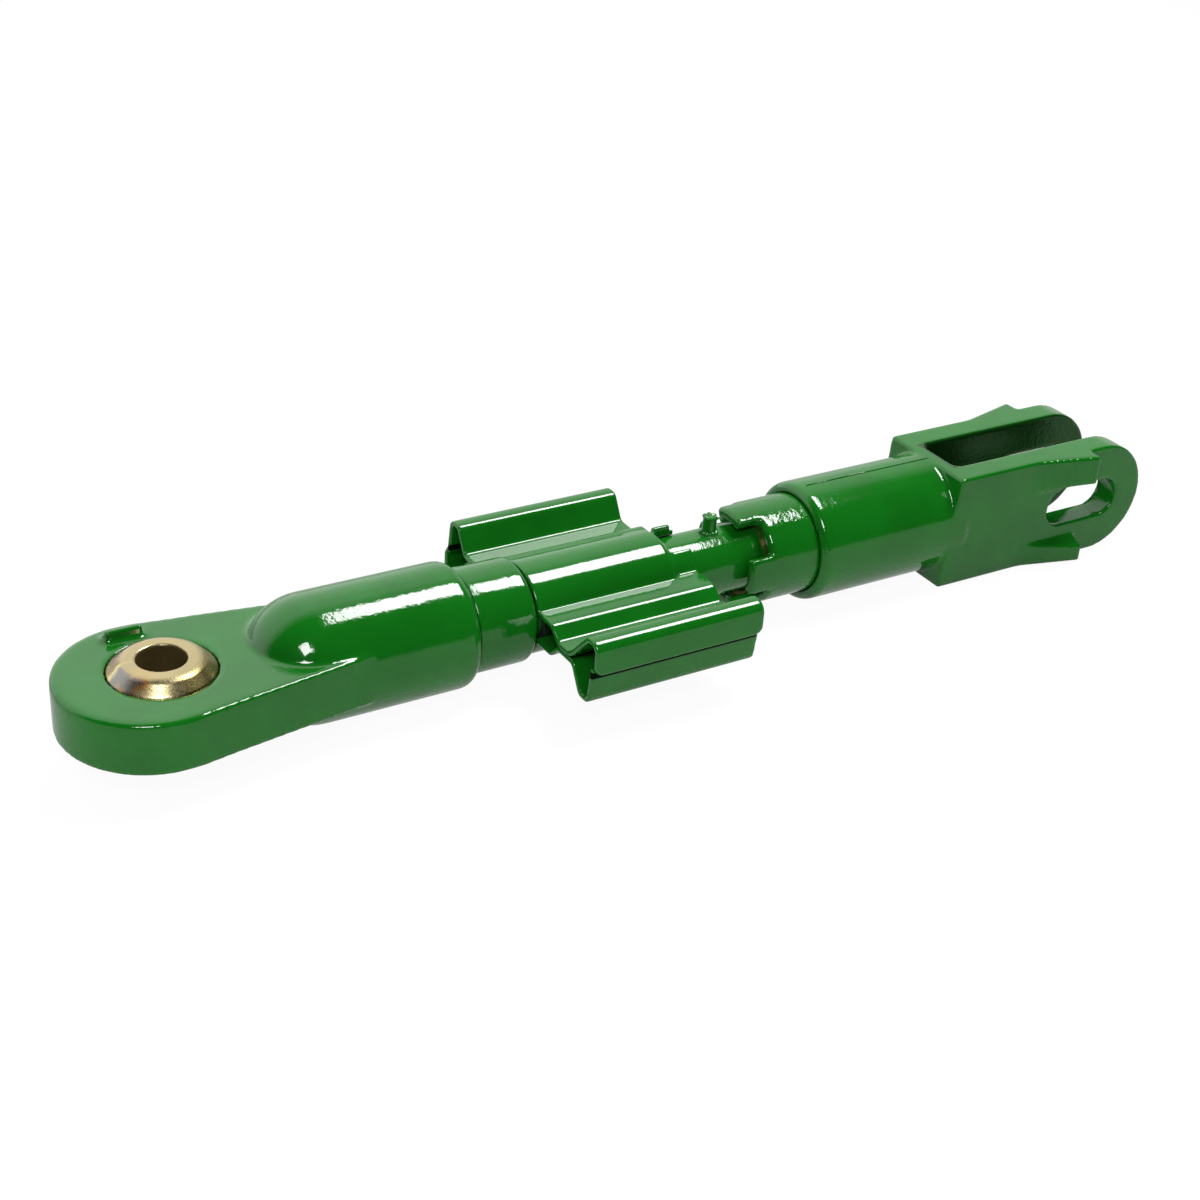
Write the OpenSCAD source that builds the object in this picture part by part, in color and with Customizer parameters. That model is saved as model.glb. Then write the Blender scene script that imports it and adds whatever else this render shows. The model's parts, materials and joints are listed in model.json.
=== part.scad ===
// Three-point lift link of a tractor linkage: a swivel-ball eye at one end and a slotted clevis fork
// at the other, joined by a screw that a two-winged pressed handle turns to set the length.
// Millimetres. The ball's centre is the origin, +X runs along the link to the fork, and the ball's
// bore is along Z. The link is drawn at its shortest, with the handle parked against the eye end.

/* [Swivel ball] */
// Radius of the spherical part of the ball
ball_r = 31; // [29:0.5:33]
// Width of the ball over its two flat faces
ball_w = 42; // [38:0.5:46]
// Bore through the ball, for the hitch pin
ball_bore_d = 25.4; // [19:0.1:28.5]
// Radius of the flat ring at each end of the ball
ball_flat_r = 18.5; // [17:0.1:20]
// Height above the ball's middle at which the end cone starts
ball_cone_z = 14.5; // [12:0.1:15]

/* [Eye] */
// How far the eye plate's outer circle sits out from the ball's centre
eye_shift = 4.5; // [0:0.5:8]
// Radius of the eye plate round the ball
eye_r = 49.5; // [47:0.5:54]
// Thickness of the eye plate
eye_t = 29.6; // [28:0.2:34]
// Length of the eye plate from the ball's centre to the step on the tube
eye_reach = 100; // [94:1:108]
// Half width of the eye plate where it ends on the tube
eye_neck_half = 33.6; // [32:0.2:34.4]
// Outer radius of the race rings that hold the ball
race_r = 38; // [36:0.5:40]
// Thickness of the retaining ring under the races
retainer_t = 4; // [3:0.5:5]
// Length of the stop lug on the eye's upper face
lug_len = 19.5; // [14:0.5:24]
// Height of the stop lug above the eye plate
lug_h = 6.2; // [4:0.2:7]

/* [Housing tube] */
// Outer radius of the housing tube
housing_r = 35.4; // [34.6:0.2:37]
// Distance from the ball's centre to the tip of the tube's dome
dome_tip_x = 44; // [42:1:48]
// Distance from the ball's centre to the tube's open end
housing_end_x = 165; // [160:1:172]
// Radius of the rounded rim at the open end
rim_r = 7; // [3:0.5:8]
// Radius of the bore that the screw runs in
screw_room_r = 19.5; // [19.4:0.1:21]

/* [Thread collar] */
// Outer radius of the threaded collar
collar_r = 29.5; // [28:0.5:31]
// Length of the collar outside the housing tube
collar_len = 35.4; // [32:0.2:42]
// Radius of the collar's spigot inside the housing tube
spigot_r = 24.5; // [23:0.5:26]
// Depth of the collar's spigot
spigot_len = 12; // [8:1:16]
// Length of the thread in the collar
thread_len = 32.5; // [28:0.5:36]
// Width of the wiper seal at the collar's mouth
seal_w = 3.5; // [3:0.5:5]

/* [Screw] */
// Major radius of the adjusting thread
thread_r = 17; // [16:0.5:18]
// Length of the threaded part
screw_thread_len = 110; // [108:1:118]
// Radius of the plain shank in the centre tube
shank_r = 14; // [12.5:0.5:15]
// Major radius of the thread for the castle nut
nut_thread_r = 12; // [10:0.5:12]
// Thickness of the stop ring on the screw's inner end
stop_ring_t = 4; // [3:0.5:6]
// Radius of the bolt that holds the stop ring
stop_bolt_r = 6; // [5:0.5:6]

/* [Centre tube] */
// Outer radius of the centre tube
tube_r = 20; // [19.5:0.1:20.5]
// Diameter of the drive stud
stud_d = 8; // [6:0.5:9]
// Height of the drive stud above the tube
stud_h = 13.5; // [10:0.5:15]
// Distance from the handle's right end to the drive stud
stud_gap = 20; // [17:0.5:22]

/* [Handle] */
// Gap between the collar and the parked handle
park_gap = 1.6; // [1:0.2:4]
// Length of the handle
handle_len = 106; // [100:1:114]
// Thickness of the pressed sheet
sheet_t = 3; // [2:0.5:3.5]
// Outer radius of the handle's barrel
barrel_r = 26.5; // [26:0.5:28]
// Length of the narrow neck at the handle's right end
neck_len = 14; // [10:0.5:16]
// Length of the cone between barrel and neck
neck_cone = 4; // [3:0.5:6]
// Half width over the outer flanges of the wings
wing_half = 86; // [80:1:92]
// Height of the wing's rolled ridge above the handle's middle
ridge_h = 22; // [18:0.5:24]
// Depth of the wing's channel from the handle's middle
channel_h = 17.5; // [16:0.5:20]
// Height of the shelf where a wing meets the barrel
shelf_h = 10; // [8:0.5:11]
// Height of the drive tab above the neck
tab_h = 2.5; // [2:0.5:4]
// Length of the drive tab
tab_len = 11; // [8:0.5:14]
// Width of the shelf beside the barrel
shelf_w = 11.5; // [10:0.5:13]
// Width of the slope from the shelf down to the wing's flat
slope_w = 8; // [7:0.5:9]
// Width of the lapping wing's flat
lap_flat_w = 12; // [10:0.5:13]
// Width of the rolled ridge's top
ridge_w = 9; // [7:0.5:10]
// Width of the channel wing's flat
channel_flat_w = 15.5; // [14:0.5:16]
// Width of the channel's sloping side
channel_side_w = 8.5; // [7:0.5:9]
// Width of the channel's floor
channel_floor_w = 8.5; // [7:0.5:9]
// Radius of the flange's free corners
flange_corner_r = 5; // [3:0.5:7]
// Width of each guide bush
bush_w = 14; // [10:1:18]

/* [Socket collar] */
// Outer radius of the socket collar
socket_r = 30; // [29:0.1:31]
// Gap of bare tube between the parked handle and the collar's face
socket_gap = 47; // [45:0.5:52]
// Length of the socket collar outside the clevis tube
socket_len = 32.5; // [30:0.5:38]
// Length of each lug on the collar's face
castle_len = 14.5; // [14:0.5:20]
// Angle that each lug covers
castle_deg = 44; // [34:1:52]
// Number of lugs
castle_n = 4; // [3:1:5]
// Radial thickness of the bronze bush
bearing_wall = 3.1; // [2.5:0.1:3.5]
// Thickness of the web that takes the thrust
web_t = 12; // [8:1:14]
// Thickness of each thrust washer
washer_t = 2; // [1.5:0.5:3]
// Thickness of the castle nut
nut_t = 16; // [14:1:18]
// Width across the flats of the castle nut
nut_af = 41; // [36:1:42]
// Depth of the collar's spigot in the clevis tube
socket_spigot = 17; // [16:0.5:20]

/* [Clevis] */
// Outer radius of the clevis tube
clevis_r = 35.8; // [34:0.2:36]
// Length of the clevis tube
clevis_tube_len = 99; // [92:1:106]
// Half height of the fork
fork_half_h = 36; // [36:0.5:38]
// Half width of the fork over its ears
fork_half_w = 34.5; // [33:0.5:37]
// Half width of the gap between the ears
gap_half = 17; // [14:0.5:18]
// Solid length of the block before the gap
block_len = 9; // [7:1:14]
// Depth of the fork from the gap's root to the ear's end centre
fork_depth = 107; // [100:1:114]
// Radius of the pin slot
slot_r = 12.6; // [10:0.1:13.5]
// Distance between the slot's end centres
slot_travel = 32; // [26:1:36]
// Distance from the ear's end centre out to the slot's outer end centre
slot_out = 3.5; // [0:0.5:4]
// How far each wedge lug stands out from its ear
wedge_out = 10.5; // [8:0.5:14]
// Length of each wedge lug
wedge_len = 45; // [36:1:50]
// Height of each upper wedge lug
wedge_h = 20.5; // [16:0.5:21]
// Height of each lower wedge lug
low_wedge_h = 15; // [12:0.5:18]
// Distance from the ear's end centre back to the step of the wedge lugs
wedge_step = 13; // [8:0.5:18]
// How much further the fork's underside reaches back along the tube than its top
root_lean = 7; // [0:0.5:9]

/* [Fits] */
// Radial running clearance of a shaft in its bush or thread
run_fit = 0.05; // [0.02:0.01:0.1]
// Clearance between faces that must not rub
face_gap = 0.3; // [0.2:0.05:0.5]
// Clearance of the ball in its races
ball_fit = 0.08; // [0.05:0.01:0.1]

/* [Hidden] */

$fn = 96;
fillet_steps = 5;
paint = [0.07, 0.36, 0.12];
paint_dark = [0.05, 0.28, 0.1];
zinc = [0.8, 0.65, 0.36];
steel = [0.55, 0.55, 0.56];
bronze = [0.55, 0.36, 0.16];
black = [0.06, 0.06, 0.06];
over = 1;

// Stations along the link, from the ball's centre
dome_centre_x = dome_tip_x + housing_r;
collar_end_x = housing_end_x + collar_len;
thread_end_x = collar_end_x - seal_w;
thread_start_x = thread_end_x - thread_len;
handle_x = collar_end_x + park_gap;
handle_end_x = handle_x + handle_len;
neck_x = handle_end_x - neck_len;
barrel_end_x = neck_x - neck_cone;
stud_x = handle_end_x + stud_gap;
socket_x = handle_end_x + socket_gap;
socket_end_x = socket_x + socket_len;
fork_x = socket_end_x + clevis_tube_len;
gap_x = fork_x + block_len;
ear_x = gap_x + fork_depth;

// Screw, from its inner end to its nut
tube_inset = 1.5;
tube_x = handle_x + tube_inset;
screw_x = tube_x - screw_thread_len;
pocket_depth = 18.6;
web_x = socket_x + pocket_depth;
web_end_x = web_x + web_t;
tube_end_x = web_x - 2 * face_gap - washer_t;
nut_x = web_end_x + 2 * face_gap + washer_t;
shank_bore_r = shank_r + run_fit;
nut_room_r = nut_af / 2 / cos(30) + 2;
nut_tail = 4;
pin_r = 2;
pin_x = nut_x + nut_t - 2.8;
clevis_bore_r = 29.5;
bolt_head_t = 7;
bolt_head_af = 19;
stop_ring_r = screw_room_r - 0.5;
screw_room_x = screw_x - stop_ring_t - bolt_head_t - 3;
seat_gap = 0.05;

// Sheet centre lines of a wing, outwards from the barrel
mid = sheet_t / 2;
shelf_z = shelf_h - mid;
ridge_z = ridge_h - mid;
channel_z = channel_h - mid;
flange_y = wing_half - mid;
tuck_y = wing_half - sheet_t - face_gap - mid;
barrel_mid_r = barrel_r - mid;
neck_r = tube_r + face_gap + sheet_t;
shelf_root_y = sqrt(barrel_mid_r * barrel_mid_r - shelf_z * shelf_z);
shelf_deg = asin(shelf_z / barrel_mid_r);
shelf_out_y = barrel_r + shelf_w;
flat_y = shelf_out_y + slope_w;
lap_rise_y = flat_y + lap_flat_w;
ridge_in_y = flange_y - ridge_w;
channel_in_y = flat_y + channel_flat_w;
channel_top_in_y = channel_in_y + channel_side_w;
channel_top_out_y = channel_top_in_y + channel_floor_w;
flange_drop = 3;
tuck_drop = 5;
lap_bends = [[shelf_root_y - 0.5, shelf_z, 0], [shelf_out_y, shelf_z, 4], [flat_y, mid, 4],
             [lap_rise_y, mid, 7], [ridge_in_y, ridge_z, 5], [flange_y, ridge_z, 5],
             [flange_y, flange_drop, 0]];
channel_bends = [[shelf_root_y - 0.5, shelf_z, 0], [shelf_out_y, shelf_z, 4], [flat_y, mid, 4],
                 [channel_in_y, mid, 4], [channel_top_in_y, channel_z, 4],
                 [channel_top_out_y, channel_z, 4], [tuck_y, -tuck_drop, 0]];
wedge_slope = 4.5;
low_wedge_back = 3;
slot_near_y = -11.5;
slot_far_y = stud_d / 2 + 2.4;

// Solid and hollow round bars along X
module bar_x(x0, x1, r) {
    translate([x0, 0, 0])
        rotate([0, 90, 0])
            cylinder(r = r, h = x1 - x0);
}

module ring_x(x0, x1, outer, inner) {
    difference() {
        bar_x(x0, x1, outer);
        bar_x(x0 - over, x1 + over, inner);
    }
}

// A body turned about X from points of [radius, x]
module turned_x(points) {
    rotate([0, 90, 0])
        rotate_extrude()
            polygon(points);
}

// Points of a quarter or other round corner
function corner(cr, cx, r, a0, a1) =
    [for (i = [0 : fillet_steps]) let (a = a0 + (a1 - a0) * i / fillet_steps) [cr + r * cos(a), cx + r * sin(a)]];

// Unit vector from one point to the next
function heading(p, q) = let (d = [q[0] - p[0], q[1] - p[1]]) d / norm(d);

// A sheet's centre line with each corner rounded to the radius given with it
function bend_points(b) = [
    for (i = [0 : len(b) - 1])
        if (i == 0 || i == len(b) - 1)
            [b[i][0], b[i][1]]
        else
            let (u = heading(b[i - 1], b[i]),
                 v = heading(b[i], b[i + 1]),
                 turn = acos(min(1, u * v)),
                 back = b[i][2] * tan(turn / 2),
                 side = sign(u[0] * v[1] - u[1] * v[0]),
                 c = [b[i][0] - u[0] * back - side * u[1] * b[i][2],
                      b[i][1] - u[1] * back + side * u[0] * b[i][2]])
            each [for (k = [0 : fillet_steps])
                let (a = turn * k / fillet_steps * side)
                c + b[i][2] * side * [u[1] * cos(a) + u[0] * sin(a), -u[0] * cos(a) + u[1] * sin(a)]]
];

// A strip of sheet about an open centre line
function side_points(p, off) = [
    for (i = [0 : len(p) - 1])
        let (u = heading(p[max(i - 1, 0)], p[max(i, 1)]),
             v = heading(p[min(i, len(p) - 2)], p[min(i + 1, len(p) - 1)]),
             n = [-(u[1] + v[1]), u[0] + v[0]],
             m = n / norm(n),
             lean = m * [-u[1], u[0]])
        p[i] + m * off / lean
];

module sheet_strip(p, t) {
    left = side_points(p, t / 2);
    right = side_points(p, -t / 2);
    polygon(concat(left, [for (i = [len(p) - 1 : -1 : 0]) right[i]]));
}

// Outline drawn in Y and Z, drawn out along X
module along_x(x0, x1) {
    translate([x0, 0, 0])
        rotate([90, 0, 90])
            linear_extrude(x1 - x0)
                children();
}

module eye_plan() {
    lean = asin((eye_r - eye_neck_half) / (eye_reach + eye_shift));
    tangent_x = eye_r * sin(lean) - eye_shift;
    tangent_y = eye_r * cos(lean);
    translate([-eye_shift, 0])
        circle(r = eye_r);
    polygon([[-eye_shift, -eye_r], [tangent_x, -tangent_y], [eye_reach, -eye_neck_half],
             [eye_reach, eye_neck_half], [tangent_x, tangent_y], [-eye_shift, eye_r]]);
}

// Low block on the far rim of the eye's upper face, with a cove along its foot
module stop_lug() {
    lug_w = 6;
    lug_y = ball_r + 2.5;
    lug_end_x = 2.5;
    cove = 2.5;
    translate([lug_end_x - lug_len, 0, eye_t / 2])
        rotate([90, 0, 90])
            linear_extrude(lug_len)
                polygon([[lug_y - cove, -over], [lug_y - cove, 0], [lug_y - cove * 0.3, cove * 0.3],
                         [lug_y, cove], [lug_y, lug_h], [lug_y + lug_w * 0.6, lug_h],
                         [lug_y + lug_w, lug_h * 0.4], [lug_y + lug_w, -over]]);
}

module ball_end_forging() {
    rim_x = housing_end_x - rim_r;
    dome_steps = 14;
    color(paint)
    difference() {
        union() {
            translate([0, 0, -eye_t / 2])
                linear_extrude(eye_t)
                    eye_plan();
            turned_x(concat([[0, rim_x + rim_r]],
                            [for (i = [0 : dome_steps])
                                let (a = 90 * i / dome_steps)
                                [housing_r * sin(a), dome_centre_x - housing_r * cos(a)]],
                            corner(housing_r - rim_r, rim_x, rim_r, 0, 90)));
            stop_lug();
        }
        translate([0, 0, -eye_t / 2 - over])
            cylinder(r = race_r, h = eye_t + over - retainer_t);
        sphere(r = ball_r + face_gap);
        bar_x(screw_room_x, housing_end_x + over, screw_room_r);
        bar_x(housing_end_x - spigot_len, housing_end_x + over, spigot_r);
    }
}

// One race: a ring with a spherical seat, from the ball's middle outwards
module race_ring() {
    color(steel)
    difference() {
        translate([0, 0, seat_gap])
            cylinder(r = race_r - seat_gap, h = eye_t / 2 - retainer_t - 2 * seat_gap);
        sphere(r = ball_r + ball_fit);
    }
}

module race_ring_upper() {
    race_ring();
}

module race_ring_lower() {
    mirror([0, 0, 1])
        race_ring();
}

module race_retaining_ring() {
    color(steel)
    difference() {
        translate([0, 0, -eye_t / 2])
            cylinder(r = race_r - seat_gap, h = retainer_t);
        sphere(r = ball_r + face_gap);
    }
}

module swivel_ball() {
    slope = (ball_r * cos(asin(ball_cone_z / ball_r)) - ball_flat_r) / (ball_w / 2 - ball_cone_z);
    reach = ball_w / 2 - ball_cone_z + 4;
    bore_bevel = 0.8;
    color(zinc)
    difference() {
        intersection() {
            sphere(r = ball_r);
            rotate_extrude()
                polygon([[0, -ball_w / 2], [ball_flat_r, -ball_w / 2],
                         [ball_flat_r + slope * reach, -ball_w / 2 + reach],
                         [ball_flat_r + slope * reach, ball_w / 2 - reach],
                         [ball_flat_r, ball_w / 2], [0, ball_w / 2]]);
        }
        translate([0, 0, -ball_w])
            cylinder(d = ball_bore_d, h = 2 * ball_w);
        for (side = [0, 1])
            mirror([0, 0, side])
                translate([0, 0, ball_w / 2 - bore_bevel])
                    cylinder(r1 = ball_bore_d / 2 - 0.01, r2 = ball_bore_d / 2 + 2 * bore_bevel, h = 2 * bore_bevel);
    }
}

module thread_collar() {
    mouth_r = 3.5;
    color(paint)
    turned_x(concat([[screw_room_r, housing_end_x - spigot_len + seat_gap],
                     [spigot_r - seat_gap, housing_end_x - spigot_len + seat_gap],
                     [spigot_r - seat_gap, housing_end_x + seat_gap],
                     [collar_r - 1, housing_end_x + seat_gap],
                     [collar_r, housing_end_x + 1]],
                    corner(collar_r - mouth_r, collar_end_x - mouth_r, mouth_r, 0, 90),
                    [[thread_r + 5, collar_end_x],
                     [thread_r + 5, thread_end_x],
                     [thread_r + run_fit, thread_end_x],
                     [thread_r + run_fit, thread_start_x],
                     [screw_room_r, thread_start_x]]));
}

module wiper_seal() {
    lip = 1;
    color(black)
    turned_x([[thread_r + face_gap, thread_end_x + seat_gap + lip],
              [thread_r + 2, thread_end_x + seat_gap],
              [thread_r + 5 - seat_gap, thread_end_x + seat_gap],
              [thread_r + 5 - seat_gap, collar_end_x - seat_gap],
              [thread_r + 2.5, collar_end_x - seat_gap],
              [thread_r + face_gap, collar_end_x - lip]]);
}

module adjusting_screw() {
    lead_in = 2;
    bolt_hole = 24;
    color(steel)
    difference() {
        turned_x([[0, screw_x],
                  [thread_r - lead_in, screw_x],
                  [thread_r, screw_x + lead_in],
                  [thread_r, tube_x - seat_gap],
                  [shank_r, tube_x - seat_gap],
                  [shank_r, nut_x],
                  [nut_thread_r, nut_x],
                  [nut_thread_r, nut_x + nut_t + nut_tail - lead_in],
                  [nut_thread_r - lead_in, nut_x + nut_t + nut_tail],
                  [0, nut_x + nut_t + nut_tail]]);
        bar_x(screw_x - over, screw_x + bolt_hole, stop_bolt_r + seat_gap);
        translate([stud_x, 0, 0])
            cylinder(d = stud_d + 2 * seat_gap, h = shank_r + over);
        split_pin_hole();
    }
}

// Plain washer that comes to rest on the collar's thread at full length
module stop_ring() {
    color(steel)
    ring_x(screw_x - seat_gap - stop_ring_t, screw_x - seat_gap, stop_ring_r, stop_bolt_r + seat_gap);
}

module stop_bolt() {
    bolt_len = 20;
    head_x = screw_x - 2 * seat_gap - stop_ring_t;
    color(steel)
    union() {
        bar_x(head_x - over, screw_x + bolt_len, stop_bolt_r);
        translate([head_x - bolt_head_t, 0, 0])
            rotate([0, 90, 0])
                cylinder(d = bolt_head_af / cos(30), h = bolt_head_t, $fn = 6);
    }
}

module centre_tube() {
    edge = 1;
    color(paint)
    difference() {
        turned_x([[shank_bore_r, tube_x],
                  [tube_r - edge, tube_x],
                  [tube_r, tube_x + edge],
                  [tube_r, tube_end_x - edge],
                  [tube_r - edge, tube_end_x],
                  [shank_bore_r, tube_end_x]]);
        translate([stud_x, 0, 0])
            cylinder(d = stud_d + 2 * seat_gap, h = tube_r + over);
    }
}

// Round stud through the tube into the shank, with a swelling foot where it is welded on
module drive_stud() {
    depth = 5;
    foot = 1.6;
    top_z = tube_r + stud_h;
    color(paint)
    union() {
        translate([stud_x, 0, shank_r - depth])
            cylinder(d = stud_d, h = top_z - 1 - shank_r + depth);
        translate([stud_x, 0, top_z - 1])
            cylinder(d1 = stud_d, d2 = stud_d - 1.6, h = 1);
        difference() {
            translate([stud_x, 0, tube_r - 1])
                cylinder(d1 = stud_d + 2 * foot, d2 = stud_d - 0.1, h = foot + 1);
            bar_x(stud_x - stud_d, stud_x + stud_d, tube_r + seat_gap);
        }
    }
}

// Rounds off the free corners of the lapping wing's flange
module flange_corners() {
    for (end = [0, 1])
        translate([end * (handle_x + handle_end_x), sheet_t + face_gap / 2 - wing_half, flange_drop])
            mirror([end, 0, 0])
                translate([handle_x, 0, 0])
                    rotate([90, 0, 0])
                        linear_extrude(sheet_t + face_gap + over)
                            difference() {
                                translate([-over, -over])
                                    square(flange_corner_r + over);
                                translate([flange_corner_r, flange_corner_r])
                                    circle(r = flange_corner_r);
                            }
}

// One of the two like pressings: half the barrel and neck, a lapping wing and a channel wing
module handle_pressing() {
    neck_shelf_y = sqrt(pow(neck_r - mid, 2) - shelf_z * shelf_z);
    lap = bend_points(lap_bends);
    channel = bend_points(channel_bends);
    difference() {
        along_x(handle_x, handle_end_x)
            mirror([1, 0])
                sheet_strip(lap, sheet_t);
        flange_corners();
    }
    along_x(handle_x, handle_end_x)
        sheet_strip(channel, sheet_t);
    for (side = [0, 1])
        mirror([0, side, 0])
            translate([barrel_end_x + 1, neck_shelf_y - 0.5, shelf_h - sheet_t])
                cube([handle_end_x - barrel_end_x - 1, shelf_root_y - neck_shelf_y + 1.5, sheet_t]);
    rotate([0, 90, 0])
        rotate_extrude(angle = 180 - 2 * shelf_deg, start = 90 + shelf_deg)
            polygon([[barrel_r - sheet_t, handle_x], [barrel_r, handle_x],
                     [barrel_r, barrel_end_x], [neck_r, neck_x],
                     [neck_r, handle_end_x], [neck_r - sheet_t, handle_end_x],
                     [neck_r - sheet_t, neck_x - 1], [barrel_r - sheet_t, barrel_end_x - 1]]);
}

module handle_upper_shell() {
    color(paint)
    union() {
        difference() {
            handle_pressing();
            translate([neck_x, slot_near_y, shelf_h])
                cube([neck_len + over, slot_far_y - slot_near_y, barrel_r]);
        }
        difference() {
            translate([handle_end_x - sheet_t - tab_len, slot_far_y, neck_r - sheet_t])
                cube([tab_len, sheet_t, sheet_t + tab_h]);
            bar_x(barrel_end_x, handle_end_x, neck_r - sheet_t / 2);
        }
    }
}

module handle_lower_shell() {
    color(paint)
    rotate([180, 0, 0])
        handle_pressing();
}

// The two like bushes that carry the barrel on the centre tube
module guide_bushes() {
    inset = 5;
    for (x = [handle_x + inset, barrel_end_x - inset - bush_w])
        color(steel)
        ring_x(x, x + bush_w, barrel_r - sheet_t - seat_gap, tube_r + run_fit);
}

module socket_collar() {
    bevel = 1.8;
    pocket_r = tube_r + run_fit + bearing_wall + seat_gap;
    castle_in_r = pocket_r + 0.8;
    spigot = clevis_bore_r - seat_gap;
    color(paint)
    union() {
        turned_x([[pocket_r, socket_x],
                  [socket_r - bevel, socket_x],
                  [socket_r, socket_x + bevel],
                  [socket_r, socket_end_x - seat_gap],
                  [spigot, socket_end_x - seat_gap],
                  [spigot, socket_end_x + socket_spigot],
                  [nut_room_r, socket_end_x + socket_spigot],
                  [nut_room_r, web_end_x],
                  [shank_bore_r, web_end_x],
                  [shank_bore_r, web_x],
                  [pocket_r, web_x]]);
        for (i = [0 : castle_n - 1])
            rotate([i * 360 / castle_n, 0, 0])
                rotate([0, 90, 0])
                    rotate_extrude(angle = castle_deg, start = 180 - castle_deg / 2)
                        polygon([[castle_in_r, socket_x - castle_len],
                                 [socket_r - bevel, socket_x - castle_len],
                                 [socket_r, socket_x - castle_len + bevel],
                                 [socket_r, socket_x + bevel + 1],
                                 [castle_in_r, socket_x + bevel + 1]]);
    }
}

module bearing_bush() {
    inset = 1.5;
    color(bronze)
    ring_x(socket_x + inset, tube_end_x - 1, tube_r + run_fit + bearing_wall, tube_r + run_fit);
}

// The two like washers, one on each side of the web
module thrust_washers() {
    for (x = [web_x - face_gap - washer_t, web_end_x + face_gap])
        color(steel)
        ring_x(x, x + washer_t, tube_r + 1, shank_bore_r + seat_gap);
}

module split_pin_hole() {
    translate([pin_x, 0, -nut_af])
        cylinder(r = pin_r + seat_gap, h = 2 * nut_af);
}

module castle_nut() {
    crown = 5.6;
    slot_w = 2 * pin_r + 0.4;
    color(steel)
    difference() {
        translate([nut_x + seat_gap, 0, 0])
            rotate([0, 90, 0])
                cylinder(d = nut_af / cos(30), h = nut_t, $fn = 6);
        bar_x(nut_x - over, nut_x + nut_t + 2 * over, nut_thread_r + seat_gap);
        for (i = [0 : 2])
            rotate([i * 60, 0, 0])
                translate([nut_x + nut_t - crown, -slot_w / 2, -nut_af])
                    cube([crown + over, slot_w, 2 * nut_af]);
    }
}

// Split pin with its eye on top and its legs bent out below
module split_pin() {
    leg = nut_af / 2 + 0.5;
    head_r = 2.2;
    wire_r = 0.8;
    color(steel)
    union() {
        translate([pin_x, 0, -leg])
            cylinder(r = pin_r, h = 2 * leg);
        translate([pin_x, 0, leg + head_r - 0.6])
            rotate([90, 0, 0])
                rotate_extrude()
                    translate([head_r - wire_r, 0])
                        circle(r = wire_r, $fn = 24);
    }
}

// Side outline of the fork, drawn in X and Z, with its round ear end and its leaning root face
module ear_side() {
    polygon([[fork_x, fork_half_h], [fork_x - root_lean, -fork_half_h],
             [ear_x, -fork_half_h], [ear_x, fork_half_h]]);
    translate([ear_x, 0])
        circle(r = fork_half_h);
}

// Plan outline of the fork: two ears off a block, the gap between them round-cornered at its root
module fork_plan() {
    root_r = 6;
    nose_x = ear_x + fork_half_h + over;
    difference() {
        translate([fork_x - root_lean, -fork_half_w])
            square([nose_x - fork_x + root_lean, 2 * fork_half_w]);
        translate([gap_x + root_r, -gap_half])
            square([nose_x - gap_x, 2 * gap_half]);
        translate([gap_x, -gap_half + root_r])
            square([root_r + over, 2 * (gap_half - root_r)]);
        for (side = [-1, 1])
            translate([gap_x + root_r, side * (gap_half - root_r)])
                circle(r = root_r);
    }
}

// Stop lug that flares out from an ear, slopes on its inner side and ends in a step
module wedge_lug(step_x, height, slope) {
    sink = 2;
    flare = 6;
    inner_z = fork_half_h - height;
    outer_y = fork_half_w + wedge_out;
    intersection() {
        translate([0, 0, inner_z])
            linear_extrude(height)
                polygon([[step_x - wedge_len, fork_half_w - sink],
                         [step_x - wedge_len, fork_half_w],
                         [step_x - wedge_len + flare, fork_half_w + wedge_out * 0.07],
                         [step_x, outer_y],
                         [step_x, fork_half_w - sink]]);
        along_x(step_x - wedge_len - over, step_x + over)
            polygon([[fork_half_w - sink - over, inner_z - over],
                     [fork_half_w - sink - over, fork_half_h + over],
                     [outer_y + over, fork_half_h + over],
                     [outer_y + over, inner_z + slope * (1 + over / wedge_out)],
                     [fork_half_w, inner_z], [fork_half_w, inner_z - over]]);
    }
}

module clevis_forging() {
    tube_bevel = 4;
    bore_depth = 25;
    color(paint)
    difference() {
        union() {
            turned_x([[0, socket_end_x],
                      [clevis_r - tube_bevel, socket_end_x],
                      [clevis_r - 1, socket_end_x + tube_bevel * 0.5],
                      [clevis_r, socket_end_x + tube_bevel],
                      [clevis_r, gap_x - over],
                      [0, gap_x - over]]);
            intersection() {
                translate([0, 0, -fork_half_h])
                    linear_extrude(2 * fork_half_h)
                        fork_plan();
                translate([0, fork_half_w, 0])
                    rotate([90, 0, 0])
                        linear_extrude(2 * fork_half_w)
                            ear_side();
            }
            for (far = [0, 1])
                mirror([0, far, 0]) {
                    wedge_lug(ear_x - wedge_step, wedge_h, wedge_slope / 2);
                    mirror([0, 0, 1])
                        wedge_lug(ear_x - wedge_step - low_wedge_back, low_wedge_h, wedge_slope);
                }
        }
        bar_x(socket_end_x - over, socket_end_x + bore_depth, clevis_bore_r);
        translate([ear_x + slot_out, 0, 0])
            rotate([90, 0, 0])
                cylinder(r = slot_r, h = 4 * fork_half_w, center = true);
        translate([ear_x + slot_out - slot_travel, 0, 0])
            rotate([90, 0, 0])
                cylinder(r = slot_r, h = 4 * fork_half_w, center = true);
        translate([ear_x + slot_out - slot_travel, -2 * fork_half_w, -slot_r])
            cube([slot_travel, 4 * fork_half_w, 2 * slot_r]);
    }
}

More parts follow.
